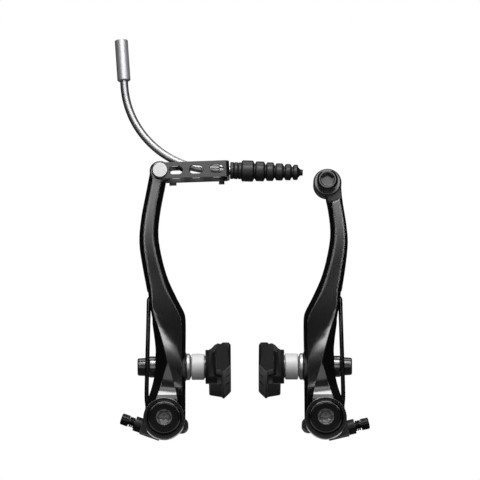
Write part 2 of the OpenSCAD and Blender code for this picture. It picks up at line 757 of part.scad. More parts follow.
left_arm();
right_arm();
pivot_bushing();  // left_pivot_bushing
right_side() pivot_bushing();  // right_pivot_bushing
pivot_bolt();  // left_pivot_bolt
right_side() pivot_bolt();  // right_pivot_bolt
pivot_cap();  // left_pivot_cap
right_side() pivot_cap();  // right_pivot_cap
spring_holder(left_turn);  // left_spring_holder
right_side() spring_holder(right_turn);  // right_spring_holder
stop_pin();  // left_stop_pin
right_side() stop_pin();  // right_stop_pin
adjuster_screw(left_turn);  // left_adjuster_screw
right_side() adjuster_screw(right_turn);  // right_adjuster_screw
adjuster_spring(left_turn);  // left_adjuster_spring
right_side() adjuster_spring(right_turn);  // right_adjuster_spring
return_spring();  // left_return_spring
right_side() return_spring();  // right_return_spring
brake_pad();  // left_brake_pad
right_side() brake_pad();  // right_brake_pad
shoe_post();  // left_shoe_post
right_side() shoe_post();  // right_shoe_post
shoe_spacer();  // left_shoe_spacer
right_side() shoe_spacer();  // right_shoe_spacer
dome_washer();  // left_dome_washer
right_side() dome_washer();  // right_dome_washer
nut_washer();  // left_nut_washer
right_side() nut_washer();  // right_nut_washer
shoe_nut();  // left_shoe_nut
right_side() shoe_nut();  // right_shoe_nut
link();
link_pin();
guide_tube();
guide_ferrule();
guide_nose();
guide_liner();
cable_boot();
cable_bolt();
cable_washer();
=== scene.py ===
import json
import math

import bpy
from bpy.props import FloatProperty, FloatVectorProperty, IntProperty, PointerProperty
from mathutils import Matrix, Vector


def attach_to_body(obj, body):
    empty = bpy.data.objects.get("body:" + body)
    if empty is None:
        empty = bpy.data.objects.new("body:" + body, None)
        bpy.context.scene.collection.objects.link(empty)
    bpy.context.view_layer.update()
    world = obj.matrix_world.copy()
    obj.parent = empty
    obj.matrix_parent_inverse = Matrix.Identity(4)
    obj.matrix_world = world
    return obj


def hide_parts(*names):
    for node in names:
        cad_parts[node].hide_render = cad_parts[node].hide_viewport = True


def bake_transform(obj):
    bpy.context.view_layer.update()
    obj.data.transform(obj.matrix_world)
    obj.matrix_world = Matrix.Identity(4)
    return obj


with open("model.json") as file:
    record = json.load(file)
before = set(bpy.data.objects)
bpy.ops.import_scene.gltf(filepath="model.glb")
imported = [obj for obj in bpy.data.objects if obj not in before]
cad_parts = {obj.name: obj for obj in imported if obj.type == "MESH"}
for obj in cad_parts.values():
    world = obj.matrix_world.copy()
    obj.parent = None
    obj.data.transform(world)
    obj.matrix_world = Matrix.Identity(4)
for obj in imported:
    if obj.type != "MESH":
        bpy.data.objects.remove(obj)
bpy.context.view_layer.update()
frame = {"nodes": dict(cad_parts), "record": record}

bl_info = {
    "name": "Rim brake finish",
    "version": (1, 0, 0),
    "blender": (4, 5, 0),
    "location": "View3D > Sidebar > Rim brake",
    "description": "Finishes the packed linear-pull rim brake and lights it for its picture",
    "category": "Object",
}

MM = 0.001
SIDES = ("left", "right")
BOSS_X = {"left": 0.0, "right": 74.0 * MM}
INWARD = {"left": 1.0, "right": -1.0}
BODY_OF = {node: body for body, nodes in frame["record"]["behaviour"]["bodies"].items()
           for node in nodes}

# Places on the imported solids, in millimetres
MIDDLE_Y = -13.0                # plane of the link and the guide
SHOE_Y, SHOE_Z = -7.5, 26.0     # axis of the shoe posts
STOP_PIN = (7.9, 0, -0.9)
CLAMP = (-1.4, 0, 110.8)
LINK_PIN = (-1.8, 0, 116.2)
GUIDE_X, GUIDE_Z = 24.3, 160.15     # centre of the guide tube's bend
GUIDE_DIP = math.radians(1.9)       # how far the link and the boot slope down
GUIDE_LEAN = math.radians(3.84)     # how far the ferrule leans outward

# Axes that turned rings lie across
ACROSS_X = (0, 1, 1)
ACROSS_Y = (1, 0, 1)

# Patches to the metre in each finish
PAINT_PATCHES, METAL_PATCHES, POLISH_PATCHES, FLOOR_PATCHES = 70.0, 130.0, 160.0, 40.0
WEAR_SPOTS = 900.0

# Depth of the relief, as a share of the grain's size
PAINT_RELIEF, METAL_RELIEF = 0.25, 0.3

SEAT_DULLING = 0.45     # added to the roughness of the paint where the cable is clamped

# Sockets of a node that mixes colours
MIX_FACTOR, MIX_FIRST, MIX_SECOND, MIX_RESULT = 0, 6, 7, 2
WHITE = (1.0, 1.0, 1.0, 1.0)


# ---------------------------------------------------------------- sizes and colours

class BrakeSizes(bpy.types.PropertyGroup):
    """Sizes of the finish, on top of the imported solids."""
    edge: FloatProperty(name="Edge radius", description="Rounding of machined edges",
                        default=0.12 * MM, min=0.0, unit="LENGTH")
    arm_edge: FloatProperty(name="Arm edge radius", description="Rounding of an arm's ridges",
                            default=0.22 * MM, min=0.0, unit="LENGTH")
    ridge: FloatProperty(name="Ridge radius",
                         description="Flow of the paint round an upper arm's ridges",
                         default=2.0 * MM, min=0.0, unit="LENGTH")
    wire: FloatProperty(name="Spring wire radius", description="Radius of the return spring's wire",
                        default=1.0 * MM, min=0.0, unit="LENGTH")
    coil: FloatProperty(name="Coil radius",
                        description="Radius of the return spring at its wire's middle",
                        default=6.9 * MM, min=0.0, unit="LENGTH")
    tube: FloatProperty(name="Guide tube radius", description="Radius of the bent guide tube",
                        default=1.85 * MM, min=0.0, unit="LENGTH")
    bend: FloatProperty(name="Guide bend radius",
                        description="Radius of the bend at the tube's middle",
                        default=42.7 * MM, min=0.0, unit="LENGTH")
    boot_sides: IntProperty(name="Boot sides", description="Sides of the rubber boot",
                            default=96, min=24)


class BrakeColours(bpy.types.PropertyGroup):
    """Colours of the finishes."""
    arm: FloatVectorProperty(name="Arm paint", description="Paint of the arms", subtype="COLOR",
                             default=(0.0028, 0.0028, 0.003))
    bolt: FloatVectorProperty(name="Bolts", description="Black oxide of bolts, caps and nuts",
                              subtype="COLOR", default=(0.0028, 0.0028, 0.0028))
    spring: FloatVectorProperty(name="Springs", description="Lacquer of the return springs",
                                subtype="COLOR", default=(0.003, 0.003, 0.003))
    plastic: FloatVectorProperty(name="Holders", description="Plastic of the spring holders",
                                 subtype="COLOR", default=(0.005, 0.005, 0.005))
    rubber: FloatVectorProperty(name="Pads", description="Rubber of the brake pads",
                                subtype="COLOR", default=(0.008, 0.008, 0.0085))
    boot: FloatVectorProperty(name="Boot", description="Rubber of the cable boot", subtype="COLOR",
                              default=(0.006, 0.006, 0.006))
    link: FloatVectorProperty(name="Link", description="Dark satin metal of the link",
                              subtype="COLOR", default=(0.065, 0.065, 0.067))
    silver: FloatVectorProperty(name="Silver", description="Bead blasted alloy of the spacers",
                                subtype="COLOR", default=(0.74, 0.74, 0.75))
    steel: FloatVectorProperty(name="Steel", description="Polished steel of the guide tube",
                               subtype="COLOR", default=(0.36, 0.36, 0.37))
    ferrule: FloatVectorProperty(name="Ferrule", description="Brushed alloy of the housing ferrule",
                                 subtype="COLOR", default=(0.46, 0.46, 0.47))
    adjuster: FloatVectorProperty(name="Adjusters", description="Black steel of the tension screws",
                                  subtype="COLOR", default=(0.035, 0.035, 0.036))
    socket: FloatVectorProperty(name="Socket", description="Bare metal inside a bolt's hexagon",
                                subtype="COLOR", default=(0.12, 0.12, 0.12))
    bushing: FloatVectorProperty(name="Bushings", description="Steel of the bushings and the nose",
                                 subtype="COLOR", default=(0.55, 0.55, 0.56))
    zinc: FloatVectorProperty(name="Zinc", description="Zinc of the shoe posts and the stop pins",
                              subtype="COLOR", default=(0.5, 0.5, 0.51))
    dome: FloatVectorProperty(name="Dome washers", description="Steel of the dome washers",
                              subtype="COLOR", default=(0.6, 0.6, 0.61))
    washer: FloatVectorProperty(name="Nut washers", description="Dark steel under the shoe nuts",
                                subtype="COLOR", default=(0.2, 0.2, 0.202))
    clamp_washer: FloatVectorProperty(name="Clamp washer",
                                      description="Dark steel under the cable bolt",
                                      subtype="COLOR", default=(0.14, 0.14, 0.143))
    link_pin: FloatVectorProperty(name="Link pin", description="Bright steel of the link's pin",
                                  subtype="COLOR", default=(0.42, 0.42, 0.42))
    liner: FloatVectorProperty(name="Liner", description="White plastic inside the guide tube",
                               subtype="COLOR", default=(0.8, 0.8, 0.77))


def sizes():
    return bpy.context.scene.brake_sizes


def colours():
    return bpy.context.scene.brake_colours


# ---------------------------------------------------------------- shader expressions

class Value:
    """A socket of a node tree that can be used in a sum or a comparison."""

    def __init__(self, tree, socket):
        self.tree = tree
        self.socket = socket

    def math(self, operation, first, second):
        return self.tree.add("ShaderNodeMath", {"operation": operation}, {0: first, 1: second})

    def __add__(self, other):
        return self.math("ADD", self, other)

    def __radd__(self, other):
        return self.math("ADD", other, self)

    def __mul__(self, other):
        return self.math("MULTIPLY", self, other)

    def __lt__(self, other):
        return self.math("LESS_THAN", self, other)

    def __gt__(self, other):
        return self.math("GREATER_THAN", self, other)

    def larger(self, other):
        return self.math("MAXIMUM", self, other)


class Tree:
    """A node tree that is built up one node at a time."""

    def __init__(self, tree):
        self.tree = tree

    def add(self, kind, settings, inputs, output=0):
        """A node with its settings and its inputs; gives one of its outputs."""
        node = self.tree.nodes.new(kind)
        for key, value in settings.items():
            setattr(node, key, value)
        for key, value in inputs.items():
            if isinstance(value, Value):
                self.tree.links.new(value.socket, node.inputs[key])
            else:
                node.inputs[key].default_value = value
        return Value(self, node.outputs[output])


class Finish(Tree):
    """A material with one shader."""

    def __init__(self, name, **constants):
        self.material = bpy.data.materials.new(name)
        self.material.use_nodes = True
        super().__init__(self.material.node_tree)
        self.shader = self.tree.nodes["Principled BSDF"]
        for key, value in constants.items():
            self.shader.inputs[key.replace("_", " ")].default_value = value

    def set(self, **links):
        for key, value in links.items():
            self.tree.links.new(value.socket, self.shader.inputs[key.replace("_", " ")])

    def place(self, scale=1.0, centre=(0.0, 0.0, 0.0)):
        """Object coordinates about a centre, stretched by one scale or by one for each axis."""
        stretch = (scale,) * 3 if isinstance(scale, float) else scale
        coordinates = self.add("ShaderNodeTexCoord", {}, {}, "Object")
        moved = self.add("ShaderNodeVectorMath", {"operation": "SUBTRACT"},
                         {0: coordinates, 1: centre})
        return self.add("ShaderNodeVectorMath", {"operation": "MULTIPLY"}, {0: moved, 1: stretch})

    def away(self, across, centre):
        """Distance from an axis through centre, or from the centre itself."""
        return self.add("ShaderNodeVectorMath", {"operation": "LENGTH"},
                        {0: self.place(across, centre)}, "Value")

    def along(self, axis):
        return self.add("ShaderNodeSeparateXYZ", {}, {0: self.place()}, axis)

    def noise(self, place, detail=4.0, roughness=0.55):
        return self.add("ShaderNodeTexNoise", {}, {"Vector": place, "Scale": 1.0, "Detail": detail,
                                                   "Roughness": roughness}, "Fac")

    def bump(self, height, strength, distance):
        return self.add("ShaderNodeBump", {}, {"Strength": strength, "Distance": distance,
                                               "Height": height}, "Normal")

    def tint(self, factor, low, high):
        """A mix of two colours."""
        low, high = (c if isinstance(c, Value) else (*c, 1.0) for c in (low, high))
        return self.add("ShaderNodeMix", {"data_type": "RGBA"},
                        {MIX_FACTOR: factor, MIX_FIRST: low, MIX_SECOND: high}, MIX_RESULT)

    def shades(self, factor, colour, dark, light):
        """A colour that varies from a darker share of itself to a lighter one."""
        return self.tint(factor, scaled(colour, dark), scaled(colour, light))

    def show_white(self, share):
        """Shows the camera so much plain white, and keeps the rest for shadows."""
        path = self.add("ShaderNodeLightPath", {}, {}, "Is Camera Ray")
        glow = self.add("ShaderNodeEmission", {}, {"Color": WHITE, "Strength": 1.0}, "Emission")
        mix = self.add("ShaderNodeMixShader", {}, {0: path * share,
                                                   1: Value(self, self.shader.outputs[0]), 2: glow})
        self.tree.links.new(mix.socket, self.tree.nodes["Material Output"].inputs["Surface"])


def scaled(colour, k):
    return tuple(min(1.0, c * k) for c in colour)


def about(middle, spread, pattern):
    """A value that a pattern moves by half the spread to either side of its middle."""
    return middle - spread * 0.5 + pattern * spread


def sprayed(name, colour, roughness, grain, depth, spread=0.07, coat=0.0, level=0.5, flow=None,
            dull=None):
    """Paint or moulded plastic: faint peel, and a gloss that varies from place to place.

    Thick paint flows round the edges: flow gives the radius at a low height and at a high one.
    A masked seat stays dull: dull gives its centre, its radius and its depth.
    """
    f = Finish(name, Metallic=0.0, Coat_Weight=coat, Coat_Roughness=0.12, Specular_IOR_Level=level)
    fine = f.noise(f.place(1.0 / grain))
    broad = f.noise(f.place(PAINT_PATCHES), detail=3.0)
    normal = f.bump(fine, depth, grain * PAINT_RELIEF)
    if flow:
        (low, low_radius), (high, high_radius) = flow
        radius = f.add("ShaderNodeMapRange", {"interpolation_type": "SMOOTHSTEP"},
                       {"Value": f.along("Z"), "From Min": low, "From Max": high,
                        "To Min": low_radius, "To Max": high_radius}, "Result")
        normal = f.add("ShaderNodeBevel", {"samples": 12}, {"Radius": radius, "Normal": normal},
                       "Normal")
    gloss = about(roughness, spread, broad)
    if dull:
        centre, radius, front = dull
        seat = (f.away(ACROSS_Y, centre) < radius) * (f.along("Y") > front)
        gloss = gloss + seat * SEAT_DULLING
    f.set(Base_Color=f.shades(fine * 0.5 + broad * 0.5, colour, dark=0.7, light=1.4),
          Roughness=gloss, Normal=normal)
    return f.material


def turned(name, colour, roughness, centre, across, pitch, depth, metallic=1.0, spread=0.12,
           level=0.5, socket=None):
    """Turned metal: rings about an axis through centre; across picks the two axes it lies across.

    Inside the radius socket the metal is bare, as in a bolt's hexagon.
    """
    f = Finish(name, Metallic=metallic, Specular_IOR_Level=level)
    radius = f.away(across, centre)
    rings = f.noise(f.add("ShaderNodeCombineXYZ", {}, {0: radius * (1.0 / pitch), 1: 0.0, 2: 0.0}),
                    detail=3.0, roughness=0.7)
    wear = f.noise(f.place(WEAR_SPOTS), detail=5.0)
    shade = f.shades(rings * 0.7 + wear * 0.3, colour, dark=0.72, light=1.25)
    if socket:
        shade = f.tint(radius < socket, shade, colours().socket)
    f.set(Base_Color=shade, Roughness=about(roughness, spread, rings),
          Normal=f.bump(rings, depth, pitch * METAL_RELIEF))
    return f.material


def brushed(name, colour, roughness, stretch, depth, metallic=1.0, spread=0.12, grain=0.00016):
    """Brushed or blasted metal: a grain that is longer where stretch is small."""
    f = Finish(name, Metallic=metallic)
    lines = f.noise(f.place(tuple(s / grain for s in stretch)), detail=3.0, roughness=0.6)
    broad = f.noise(f.place(METAL_PATCHES))
    f.set(Base_Color=f.shades(lines * 0.6 + broad * 0.4, colour, dark=0.78, light=1.2),
          Roughness=about(roughness, spread, lines),
          Normal=f.bump(lines, depth, grain * METAL_RELIEF))
    return f.material


def polished(name, colour, roughness, spread=0.05):
    """Smooth polished metal, a little duller in places."""
    f = Finish(name, Metallic=1.0)
    broad = f.noise(f.place(POLISH_PATCHES))
    f.set(Base_Color=f.shades(broad, colour, dark=0.92, light=1.06),
          Roughness=about(roughness, spread, broad))
    return f.material


# ---------------------------------------------------------------- modelling helpers

def select_only(piece):
    bpy.ops.object.select_all(action="DESELECT")
    piece.select_set(True)
    bpy.context.view_layer.objects.active = piece


def edit(piece):
    select_only(piece)
    bpy.ops.object.mode_set(mode="EDIT")
    bpy.ops.mesh.select_all(action="SELECT")


def leave():
    bpy.ops.object.mode_set(mode="OBJECT")


def clean(piece, reach):
    """Joins the vertices that lie within reach, and turns all faces outward."""
    edit(piece)
    bpy.ops.mesh.remove_doubles(threshold=reach)
    bpy.ops.mesh.normals_make_consistent(inside=False)
    leave()


def merged_copy(node):
    """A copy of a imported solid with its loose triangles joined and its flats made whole."""
    mesh = frame["nodes"][node].data.copy()
    mesh.materials.clear()
    piece = bpy.data.objects.new(node + "_finish", mesh)
    bpy.context.scene.collection.objects.link(piece)
    edit(piece)
    bpy.ops.mesh.customdata_custom_splitnormals_clear()
    bpy.ops.mesh.remove_doubles(threshold=0.002 * MM)
    bpy.ops.mesh.dissolve_limited(angle_limit=math.radians(0.3), delimit=set())
    leave()
    return piece


def soften(piece, width, limit=32.0):
    """Rounds the edges sharper than limit, and shades the rest smooth."""
    select_only(piece)
    bevel = piece.modifiers.new("Edges", "BEVEL")
    bevel.width = width
    bevel.segments = 2
    bevel.limit_method = "ANGLE"
    bevel.angle_limit = math.radians(limit)
    bevel.miter_outer = "MITER_ARC"
    bevel.use_clamp_overlap = True
    bpy.ops.object.modifier_apply(modifier=bevel.name)
    bpy.ops.object.shade_smooth()
    weighted = piece.modifiers.new("Normals", "WEIGHTED_NORMAL")
    weighted.keep_sharp = True
    weighted.weight = 60
    bpy.ops.object.modifier_apply(modifier=weighted.name)


def smooth_by_angle(piece, degrees):
    select_only(piece)
    bpy.ops.object.shade_smooth_by_angle(angle=math.radians(degrees))


def attach(piece, node, material, rigid=True):
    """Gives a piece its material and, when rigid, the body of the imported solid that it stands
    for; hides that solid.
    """
    piece.data.materials.clear()
    piece.data.materials.append(material)
    if rigid:
        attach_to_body(piece, BODY_OF[node])
    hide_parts(node)


def finish_node(node, material, width, limit=32.0):
    """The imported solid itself, with its edges rounded and its own material."""
    piece = merged_copy(node)
    soften(piece, width, limit)
    attach(piece, node, material)


def settle(piece, matrix):
    """Puts a piece's place into its mesh."""
    select_only(piece)
    piece.matrix_world = matrix
    bpy.context.view_layer.update()
    bpy.ops.object.transform_apply(location=True, rotation=True, scale=True)


def lathe(name, profile, sides):
    """A closed ring, extruded and resized along Z from each (radius, height) to the next."""
    first = profile[0]
    bpy.ops.object.select_all(action="DESELECT")
    bpy.ops.mesh.primitive_circle_add(vertices=sides, radius=first[0], location=(0, 0, first[1]))
    piece = bpy.context.object
    piece.name = name
    bpy.ops.object.transform_apply(location=True, rotation=True, scale=True)
    edit(piece)
    radius, height = first
    for r, z in profile[1:] + [first]:
        bpy.ops.mesh.extrude_region_move(TRANSFORM_OT_translate={"value": (0, 0, z - height)})
        bpy.ops.transform.resize(value=(r / radius, r / radius, 1.0), center_override=(0, 0, z))
        radius, height = r, z
    leave()
    clean(piece, 0.002 * MM)
    return piece


def curve_mesh(name, points, cyclic=False, **settings):
    """The mesh of a curve that runs straight from point to point."""
    curve = bpy.data.curves.new(name, "CURVE")
    for key, value in settings.items():
        setattr(curve, key, value)
    spline = curve.splines.new("POLY")
    spline.points.add(len(points) - 1)
    for point, place in zip(spline.points, points):
        point.co = (*place, 1.0)
    spline.use_cyclic_u = cyclic
    piece = bpy.data.objects.new(name, curve)
    bpy.context.scene.collection.objects.link(piece)
    select_only(piece)
    bpy.ops.object.convert(target="MESH")
    return bpy.context.object


def wire_piece(name, points, radius, rings):
    """A round wire along points, as a closed mesh."""
    piece = curve_mesh(name, points, dimensions="3D", bevel_depth=radius,
                       bevel_resolution=rings // 2, use_fill_caps=True, twist_mode="MINIMUM")
    clean(piece, 0.001 * MM)
    smooth_by_angle(piece, 50)
    return piece


def hollow_tube(name, points, outer, inner, material, node):
    """A bent tube with a real bore: the wall is a solidified open sleeve."""
    piece = curve_mesh(name, points, dimensions="3D", bevel_depth=outer, bevel_resolution=8,
                       use_fill_caps=False)
    clean(piece, 0.001 * MM)
    select_only(piece)
    wall = piece.modifiers.new("Wall", "SOLIDIFY")
    wall.thickness = outer - inner
    wall.offset = -1.0
    bpy.ops.object.modifier_apply(modifier=wall.name)
    smooth_by_angle(piece, 40)
    attach(piece, node, material)


def prism(name, outline, near, far, turn):
    """A flat outline in millimetres, extruded from near to far and turned into place."""
    piece = curve_mesh(name, [(a * MM, b * MM, 0.0) for a, b in outline], cyclic=True,
                       dimensions="2D", fill_mode="BOTH", extrude=(far - near) / 2 * MM)
    settle(piece, turn @ Matrix.Translation((0, 0, (near + far) / 2 * MM)))
    clean(piece, 0.001 * MM)
    return piece


def combine(piece, tool, operation):
    """Unites, cuts or crosses a piece with a tool, which is used up."""
    select_only(piece)
    step = piece.modifiers.new("Combine", "BOOLEAN")
    step.operation = operation
    step.solver = "EXACT"
    step.object = tool
    bpy.ops.object.modifier_apply(modifier=step.name)
    bpy.data.objects.remove(tool)


def side_point(side, x, y, z):
    """A place given in millimetres from a boss axis, x inward."""
    return (BOSS_X[side] + INWARD[side] * x * MM, y * MM, z * MM)


# ---------------------------------------------------------------- operators

class BRAKE_OT_arms(bpy.types.Operator):
    """Finish both arms with softened ridges and black paint"""
    bl_idname = "brake.arms"
    bl_label = "Arms"

    def execute(self, context):
        seat = (side_point("right", *CLAMP), 9.7 * MM, -16.2 * MM)
        for side in SIDES:
            paint = sprayed(side + "_arm_paint", colours().arm, 0.15, 0.0003, 0.008, spread=0.03,
                            level=1.0, flow=((48 * MM, 0.4 * MM), (64 * MM, sizes().ridge)),
                            dull=seat if side == "right" else None)
            finish_node(side + "_arm", paint, sizes().arm_edge, limit=11.0)
        return {"FINISHED"}


class BRAKE_OT_pivots(bpy.types.Operator):
    """Finish the pivot bolts, caps and bushings"""
    bl_idname = "brake.pivots"
    bl_label = "Pivots"

    def execute(self, context):
        for side in SIDES:
            axis = side_point(side, 0, 0, 0)
            cap = turned(side + "_cap_black", colours().bolt, 0.13, axis, ACROSS_Y, 0.0005, 0.03,
                         metallic=0.0, spread=0.05, level=0.5)
            bolt = turned(side + "_bolt_black", colours().bolt, 0.13, axis, ACROSS_Y, 0.0005, 0.02,
                          metallic=0.0, spread=0.05, level=0.6, socket=3.7 * MM)
            steel = turned(side + "_bushing_zinc", colours().bushing, 0.3, axis, ACROSS_Y, 0.0004,
                           0.2)
            finish_node(side + "_pivot_cap", cap, sizes().edge)
            finish_node(side + "_pivot_bolt", bolt, sizes().edge * 2.5)
            finish_node(side + "_pivot_bushing", steel, sizes().edge)
        return {"FINISHED"}


class BRAKE_OT_holders(bpy.types.Operator):
    """Finish the plastic spring holders and their stop pins"""
    bl_idname = "brake.holders"
    bl_label = "Spring holders"

    def execute(self, context):
        plastic = sprayed("holder_plastic", colours().plastic, 0.46, 0.00018, 0.35)
        for side in SIDES:
            zinc = turned(side + "_pin_zinc", colours().zinc, 0.32, side_point(side, *STOP_PIN),
                          ACROSS_Y, 0.0003, 0.2)
            finish_node(side + "_spring_holder", plastic, sizes().edge * 1.6)
            finish_node(side + "_stop_pin", zinc, sizes().edge)
        return {"FINISHED"}


class BRAKE_OT_adjusters(bpy.types.Operator):
    """Finish the tension screws and wind their small springs"""
    bl_idname = "brake.adjusters"
    bl_label = "Tension adjusters"

    def execute(self, context):
        black = brushed("adjuster_black", colours().adjuster, 0.30, (1, 1, 1), 0.25, spread=0.2)
        for side, slope in (("left", math.radians(20.0)), ("right", math.radians(13.0))):
            finish_node(side + "_adjuster_screw", black, sizes().edge * 0.6)
            spring = wire_piece(side + "_adjuster_spring_finish", self.coil(side, slope),
                                0.35 * MM, 8)
            attach(spring, side + "_adjuster_spring", black)
        return {"FINISHED"}

    def coil(self, side, slope):
        """Points of the coil round a screw that rises outward by slope, below the boss axis."""
        radius, turns, steps = 2.1, 2.5, 100
        start, length = 13.17, 2.15
        drop, depth = 4.36, -4.2
        out = (-math.cos(slope), math.sin(slope))
        across = (-out[1], out[0])
        foot = (across[0] * drop, across[1] * drop)
        points = []
        for i in range(steps + 1):
            turn = 2 * math.pi * turns * i / steps
            along = start + length * i / steps
            beside = radius * math.cos(turn)
            points.append(side_point(side, foot[0] + out[0] * along + across[0] * beside,
                                     depth + radius * math.sin(turn),
                                     foot[1] + out[1] * along + across[1] * beside))
        return points


class BRAKE_OT_return_springs(bpy.types.Operator):
    """Wind the return springs, from the coil round the pivot up to the hook"""
    bl_idname = "brake.return_springs"
    bl_label = "Return springs"

    def execute(self, context):
        lacquer = sprayed("spring_lacquer", colours().spring, 0.14, 0.0005, 0.05, spread=0.08,
                          coat=0.6)
        path = self.path()
        for side in SIDES:
            spring = wire_piece(side + "_return_spring_finish",
                                [side_point(side, *p) for p in path], sizes().wire, 14)
            attach(spring, side + "_return_spring", lacquer, rigid=False)
            # The spring rides on no body; on the brake its foot stays in the holder
            # while the leg swings with the arm, and the coil winds between them
            side_point(side, 0, -8.2, 0)
            side_point(side, 0, -13.1, 0)
            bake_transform(spring)
        return {"FINISHED"}

    def path(self):
        """The wire's middle line: the foot, the coil, the long leg and the hook."""
        coil = sizes().coil / MM
        front, pitch, turns, steps = -14.05, 2.1, 2.5, 64
        leg = [(-7.05, front, 2.5), (-7.75, front, 7), (-8.05, -14, 12), (-7.75, -13.8, 26),
               (-7.3, -13.55, 44), (-7.02, -13.42, 55.9)]
        hook_x, hook_y, hook_z, hook_radius, hook_steps = -7.0, -13.4, 55.9, 1.6, 8
        path = [(coil, -5.0, 0), (coil, -7.4, 0)]
        for i in range(int(turns * steps), -1, -1):
            a = math.pi + 2 * math.pi * i / steps
            path.append((coil * math.cos(a), front + pitch * i / steps, coil * math.sin(a)))
        path += smooth_path(leg, 10)
        for i in range(1, hook_steps + 1):
            a = math.pi / 2 * i / hook_steps
            path.append((hook_x + hook_radius * (1 - math.cos(a)), hook_y,
                         hook_z + hook_radius * math.sin(a)))
        path.append((-3.8, hook_y, hook_z + hook_radius))
        return path


class BRAKE_OT_shoes(bpy.types.Operator):
    """Finish the brake shoes with their washers and nuts"""
    bl_idname = "brake.shoes"
    bl_label = "Brake shoes"

    def execute(self, context):
        rubber = sprayed("pad_rubber", colours().rubber, 0.52, 0.00025, 0.3, spread=0.12, level=0.3)
        post = brushed("post_zinc", colours().zinc, 0.32, (0.1, 1, 1), 0.2)
        blasted = brushed("spacer_silver", colours().silver, 0.55, (1, 1, 1), 0.2, metallic=0.2,
                          grain=0.00009)
        axis = (0.0, SHOE_Y * MM, SHOE_Z * MM)
        dome = turned("dome_steel", colours().dome, 0.42, axis, ACROSS_X, 0.0005, 0.05)
        black = turned("nut_black", colours().bolt, 0.25, axis, ACROSS_X, 0.0005, 0.08,
                       metallic=0.0, level=1.0)
        dark = turned("washer_dark", colours().washer, 0.24, axis, ACROSS_X, 0.0005, 0.05)
        for side in SIDES:
            self.pad(side, rubber)
            finish_node(side + "_shoe_post", post, sizes().edge)
            finish_node(side + "_shoe_spacer", blasted, sizes().edge)
            finish_node(side + "_dome_washer", dome, sizes().edge)
            finish_node(side + "_nut_washer", dark, sizes().edge)
            finish_node(side + "_shoe_nut", black, sizes().edge)
        return {"FINISHED"}

    def pad(self, side, rubber):
        """The pad, with the moulded block that carries its post"""
        flip = INWARD[side]
        front = [(19.3, 19.6), (19.3, 32.0), (21.6, 33.2), (23.2, 34.9), (24.6, 35.6),
                 (26.2, 35.2), (26.2, 19.6)]
        above = [(19.3, -13.2), (20.4, -15.4), (24.5, -16.22), (26.2, -16.1), (26.2, 2.0),
                 (19.3, 2.0)]
        round_off = sizes().edge * 4
        upright = Matrix.Rotation(math.pi / 2, 4, "X")
        place = Matrix.Translation((BOSS_X[side], 0, 0))
        block = prism(side + "_block", [(flip * x, z) for x, z in front], -3.0, 17.0,
                      place @ upright)
        pivot = Matrix.Translation((0, -8 * MM, SHOE_Z * MM))
        tilt = pivot @ Matrix.Rotation(math.radians(-8), 4, "X") @ pivot.inverted()
        lid = prism(side + "_lid", [(flip * x, y) for x, y in above], 10.0, 40.0, place @ tilt)
        combine(block, lid, "INTERSECT")
        soften(block, round_off)
        pad = merged_copy(side + "_brake_pad")
        soften(pad, round_off)
        combine(pad, block, "UNION")
        smooth_by_angle(pad, 30)
        attach(pad, side + "_brake_pad", rubber)


class BRAKE_OT_link(bpy.types.Operator):
    """Finish the folded link and its pin"""
    bl_idname = "brake.link"
    bl_label = "Link"

    def execute(self, context):
        satin = brushed("link_satin", colours().link, 0.38, (1, 1, 1), 0.22, spread=0.14,
                        grain=0.00012)
        bright = turned("pin_bright", colours().link_pin, 0.4, side_point("left", *LINK_PIN),
                        ACROSS_Y, 0.00035, 0.05)
        finish_node("link", satin, sizes().edge)
        finish_node("link_pin", bright, sizes().edge)
        return {"FINISHED"}


class BRAKE_OT_guide(bpy.types.Operator):
    """Bend the guide tube and finish its ferrule, nose and liner"""
    bl_idname = "brake.guide"
    bl_label = "Cable guide"

    def execute(self, context):
        bright = polished("guide_steel", colours().steel, 0.42)
        white = sprayed("liner_white", colours().liner, 0.4, 0.0003, 0.1)
        alloy = brushed("ferrule_alloy", colours().ferrule, 0.5, (1, 1, 0.06), 0.06, metallic=0.8,
                        spread=0.08, grain=0.0003)
        nose = brushed("nose_steel", colours().bushing, 0.28, (0.05, 1, 1), 0.2)
        path = guide_path()
        hollow_tube("guide_tube_finish", path, sizes().tube, 1.3 * MM, bright,
                    "guide_tube")
        hollow_tube("guide_liner_finish", path, 1.2 * MM, 0.9 * MM, white,
                    "guide_liner")
        finish_node("guide_ferrule", alloy, sizes().edge)
        finish_node("guide_nose", nose, sizes().edge * 0.7)
        return {"FINISHED"}


